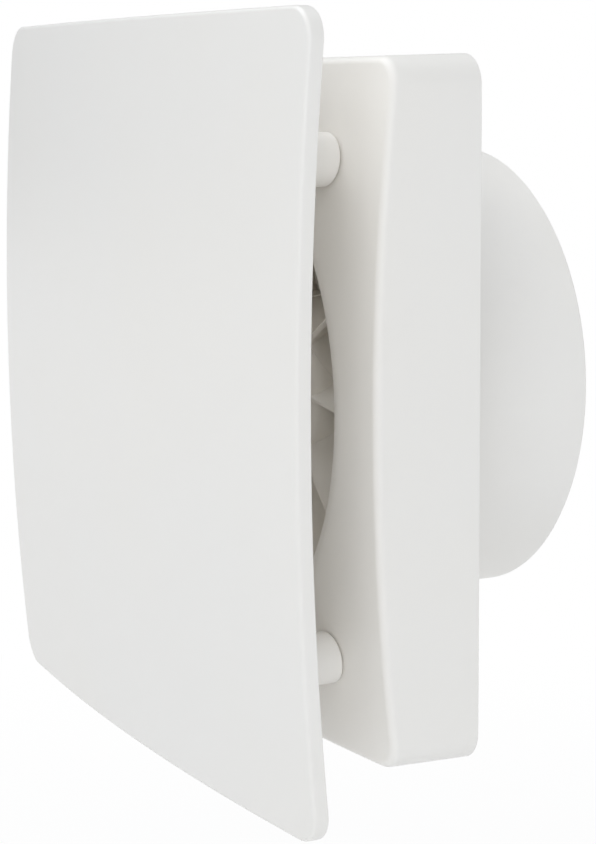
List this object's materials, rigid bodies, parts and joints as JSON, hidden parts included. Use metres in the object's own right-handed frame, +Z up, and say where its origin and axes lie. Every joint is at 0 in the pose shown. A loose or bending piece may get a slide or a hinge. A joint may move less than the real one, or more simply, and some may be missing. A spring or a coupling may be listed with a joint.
{
  "type": "bathroom extractor fan",
  "caption": "Wall extractor fan for a round duct: domed square panel on four posts, square housing with inlet, motor and impeller in the spigot, flap damper at the outlet.",
  "frame": {"origin": "on the fan axis, in the plane of the housing's back that stands on the wall", "axes": "+Y into the wall along the duct, +X right seen from the room, +Z up"},
  "size_m": [0.156, 0.087, 0.156],
  "materials": {
    "panel_abs": "satin white moulded plastic",
    "housing_abs": "fine-textured white moulded plastic",
    "duct_abs": "plain white moulded plastic",
    "impeller_plastic": "white moulded plastic",
    "flap_plastic": "thin white moulded plastic",
    "zinc_screw": "zinc-plated steel",
    "steel_bright": "ground steel",
    "spring_steel": "spring wire",
    "bracket_zinc": "die-cast, as cast",
    "lamination": "stacked electrical steel",
    "copper": "copper, drawn",
    "winding_tape": "polyester tape over enamelled wire",
    "bobbin_nylon": "natural nylon",
    "cage_aluminium": "die-cast",
    "bronze": "sintered, oil-filled",
    "brass": "machined",
    "terminal_nylon": "moulded nylon",
    "rubber_black": "moulded rubber",
    "rubber_grey": "moulded rubber",
    "lead_blue": "PVC insulation"
  },
  "bodies": {
    "fan_body": {"fascia": "housing_abs", "fascia_screw": "zinc_screw", "mounting_tray": "duct_abs", "duct_barrel": "duct_abs", "barrel_screws": "zinc_screw", "cable_grommet": "rubber_grey", "cord_clamp": "terminal_nylon", "clamp_screws": "zinc_screw", "terminal_block": "terminal_nylon", "terminal_inserts": "brass", "terminal_screws": "zinc_screw", "block_screws": "zinc_screw", "motor_carrier": "duct_abs", "motor_cap": "duct_abs", "rubber_mounts": "rubber_black", "front_bracket": "bracket_zinc", "rear_bracket": "bracket_zinc", "front_bush": "bronze", "rear_bush": "bronze", "stator_core": "lamination", "shading_rings": "copper", "coil_bobbin": "bobbin_nylon", "coil_winding": "winding_tape", "coil_pins": "zinc_screw", "motor_bolts": "zinc_screw", "motor_nuts": "zinc_screw", "motor_leads": "lead_blue", "damper_frame": "duct_abs", "damper_pins": "steel_bright", "damper_spring_left": "spring_steel", "damper_spring_right": "spring_steel"},
    "rotor_set": {"shaft": "steel_bright", "shaft_spacers": "bobbin_nylon", "rotor_core": "lamination", "rotor_cage": "cage_aluminium", "impeller": "impeller_plastic", "impeller_clip": "spring_steel"},
    "panel": {"front_panel": "panel_abs", "panel_posts": "panel_abs", "post_rings": "rubber_grey"},
    "flap_left": {"damper_flap_left": "flap_plastic"},
    "flap_right": {"damper_flap_right": "flap_plastic"}
  },
  "joints": [
    {"name": "impeller_spin", "type": "hinge", "parent": "fan_body", "child": "rotor_set", "pos_m": [0, 0, 0], "axis": [0, 1, 0], "continuous": true},
    {"name": "panel_pull", "type": "slide", "parent": "fan_body", "child": "panel", "axis": [0, -1, 0], "range_m": [0, 0.012]},
    {"name": "flap_left_swing", "type": "hinge", "parent": "fan_body", "child": "flap_left", "pos_m": [-0.0026, 0.036, 0], "axis": [0, 0, -1], "range_deg": [0, 75], "stiffness_Nm_per_rad": 0.0004, "springref_deg": -20.05, "deforming": ["damper_spring_left"]},
    {"name": "flap_right_swing", "type": "hinge", "parent": "fan_body", "child": "flap_right", "pos_m": [0.0026, 0.036, 0], "axis": [0, 0, 1], "range_deg": [0, 75], "stiffness_Nm_per_rad": 0.0004, "springref_deg": -20.05, "deforming": ["damper_spring_right"]}
  ]
}
